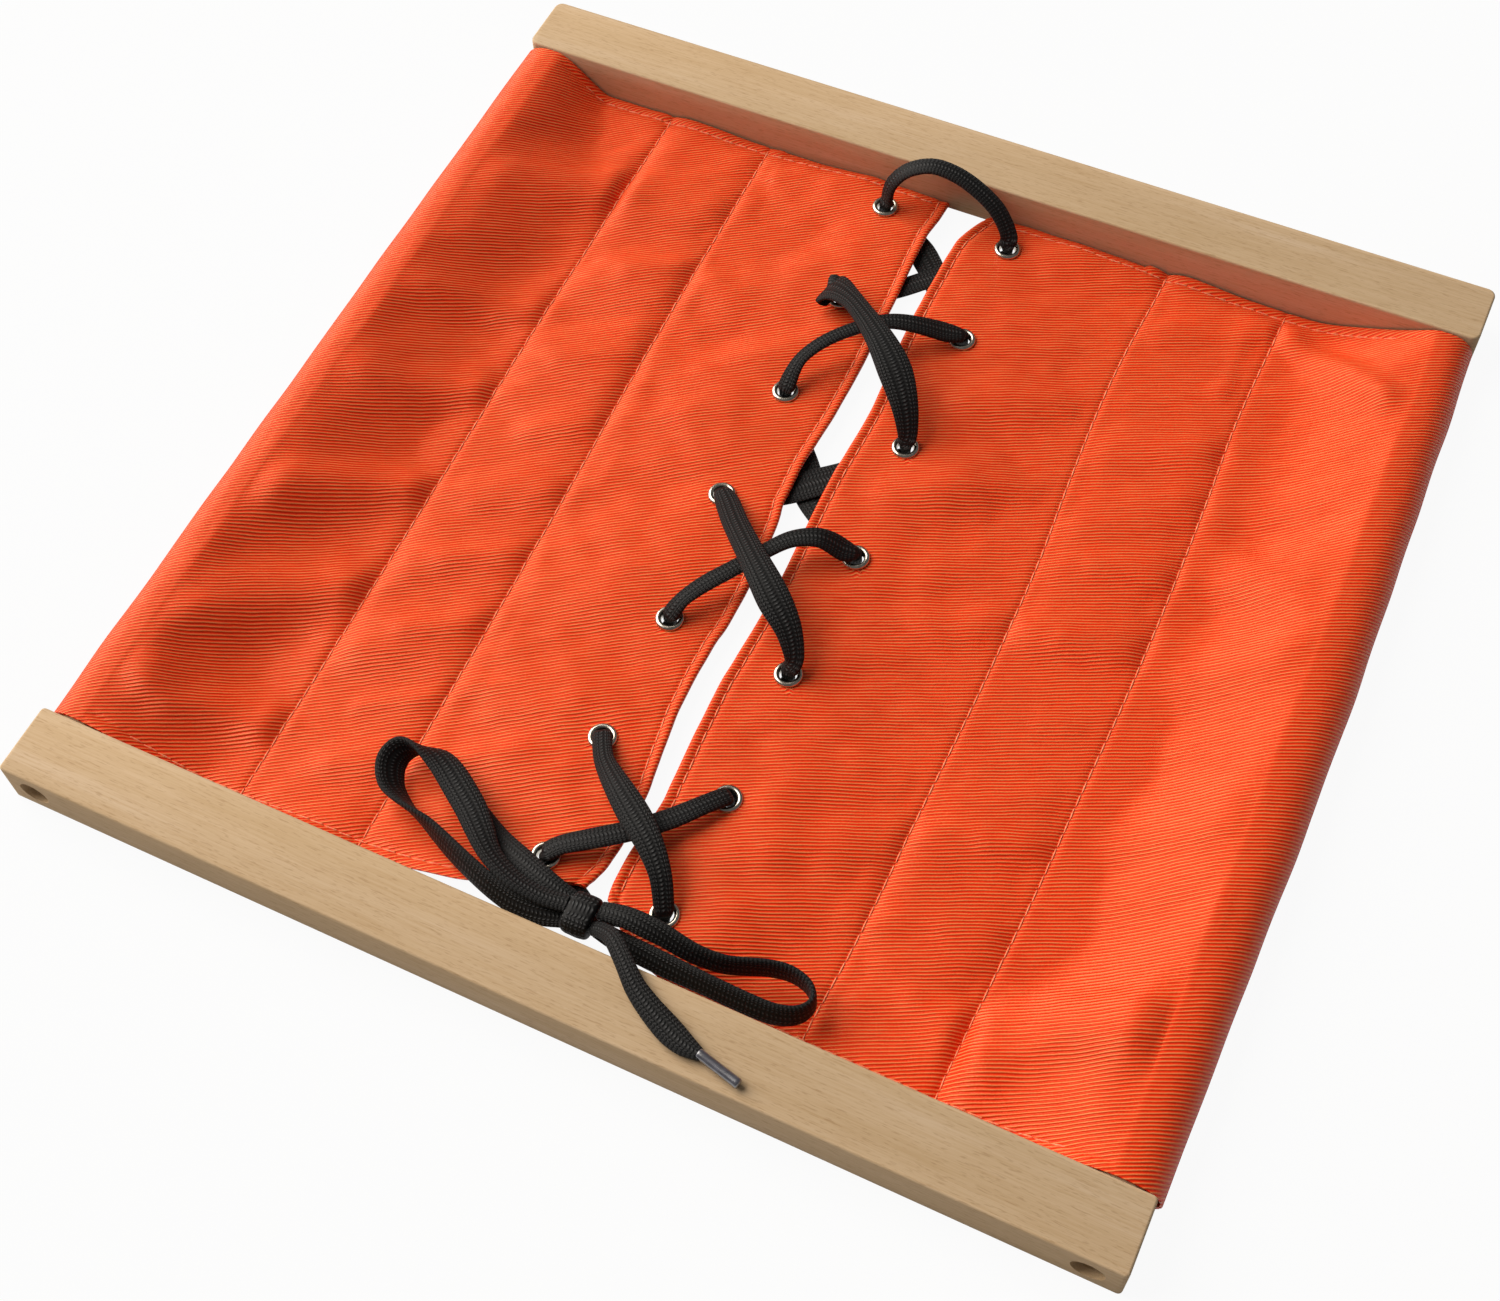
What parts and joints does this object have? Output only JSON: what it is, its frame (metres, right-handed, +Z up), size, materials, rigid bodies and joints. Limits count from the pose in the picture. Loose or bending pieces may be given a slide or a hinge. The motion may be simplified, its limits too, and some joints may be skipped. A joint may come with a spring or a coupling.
{
  "type": "dressing frame",
  "caption": "Wooden frame with cotton flaps sleeved on its side rails, closed down the middle by a flat lace through metal eyelets and tied in a bow.",
  "frame": {"origin": "middle of the frame at table height", "axes": "+X along the bare rails towards the right flap, +Y from the near rail to the far one, +Z up from the table"},
  "size_m": [0.307, 0.308, 0.0209],
  "materials": {
    "beech": "planed and clear-waxed beech",
    "screw": "zinc-plated",
    "twill": "orange cotton twill",
    "eyelet": "nickel-plated",
    "lace": "flat black braid",
    "aglet": "clear tip film over black braid"
  },
  "bodies": {
    "frame": {"front_rail": "beech", "back_rail": "beech", "left_side_rail": "beech", "right_side_rail": "beech", "rail_screw_front_left": "screw", "rail_screw_front_right": "screw", "rail_screw_back_left": "screw", "rail_screw_back_right": "screw"},
    "left_flap": {"left_panel": "twill", "eyelet_left_1": "eyelet", "eyelet_left_2": "eyelet", "eyelet_left_3": "eyelet", "eyelet_left_4": "eyelet", "eyelet_left_5": "eyelet", "eyelet_left_6": "eyelet", "eyelet_left_7": "eyelet"},
    "right_flap": {"right_panel": "twill", "eyelet_right_1": "eyelet", "eyelet_right_2": "eyelet", "eyelet_right_3": "eyelet", "eyelet_right_4": "eyelet", "eyelet_right_5": "eyelet", "eyelet_right_6": "eyelet", "eyelet_right_7": "eyelet"},
    "lacing": {"lace_threading": "lace", "lace_knot": "lace", "lace_left_loop": "lace", "lace_right_loop": "lace", "lace_left_tail": "lace", "lace_right_tail": "lace", "aglet_left": "aglet", "aglet_right": "aglet"}
  },
  "joints": [
    {"name": "left_flap_hinge", "type": "hinge", "parent": "frame", "child": "left_flap", "pos_m": [-0.14375, 0, 0.0076], "axis": [0, -1, 0], "range_deg": [0, 3.5]},
    {"name": "right_flap_hinge", "type": "hinge", "parent": "frame", "child": "right_flap", "pos_m": [0.14375, 0, 0.0076], "axis": [0, 1, 0], "range_deg": [0, 3.5]},
    {"name": "lacing_lift", "type": "slide", "parent": "frame", "child": "lacing", "axis": [0, 0, 1], "range_m": [0, 0.0076]}
  ],
  "couplings": [
    {"joint": "right_flap_hinge", "follows": "left_flap_hinge", "ratio": 1},
    {"joint": "lacing_lift", "follows": "left_flap_hinge", "m_per_rad": 0.123}
  ]
}
